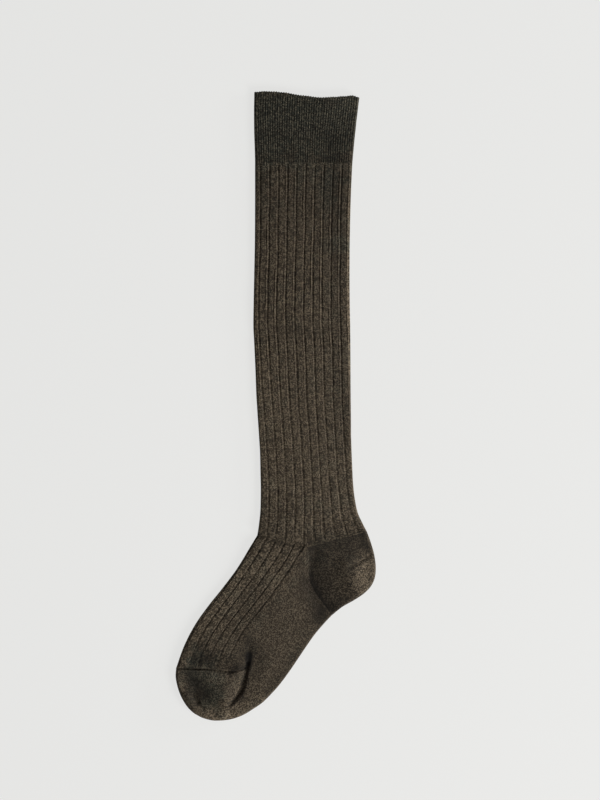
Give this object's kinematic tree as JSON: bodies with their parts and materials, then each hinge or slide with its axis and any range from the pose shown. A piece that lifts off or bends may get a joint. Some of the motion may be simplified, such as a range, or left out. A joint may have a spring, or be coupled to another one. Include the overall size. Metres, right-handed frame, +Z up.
{
  "type": "knee-high ribbed sock, laid flat",
  "caption": "Knee-high wool sock laid flat on its side: fine-rib cuff, broad-ribbed leg and instep, plain sole, turned heel and toe pockets.",
  "frame": {"origin": "middle of the leg's underside, on the surface that the sock lies on, near the middle of its bounding box", "axes": "+Y up the leg towards the cuff, +X from the shin (front) fold towards the calf (back) fold, +Z up from the surface the sock lies on"},
  "size_m": [0.1727, 0.5422, 0.0081],
  "materials": {
    "cuff_wool": "fine 1x1 rib knit, dark brown heather",
    "leg_wool": "broad rib knit, dark brown heather",
    "heel_wool": "plain knit, dark brown heather, thicker",
    "foot_wool": "broad rib knit over the instep and plain knit under the sole, dark brown heather",
    "toe_wool": "plain knit, dark brown heather, thicker"
  },
  "bodies": {
    "root": {"cuff": "cuff_wool", "leg": "leg_wool", "heel": "heel_wool", "foot": "foot_wool", "toe": "toe_wool"}
  },
  "joints": []
}
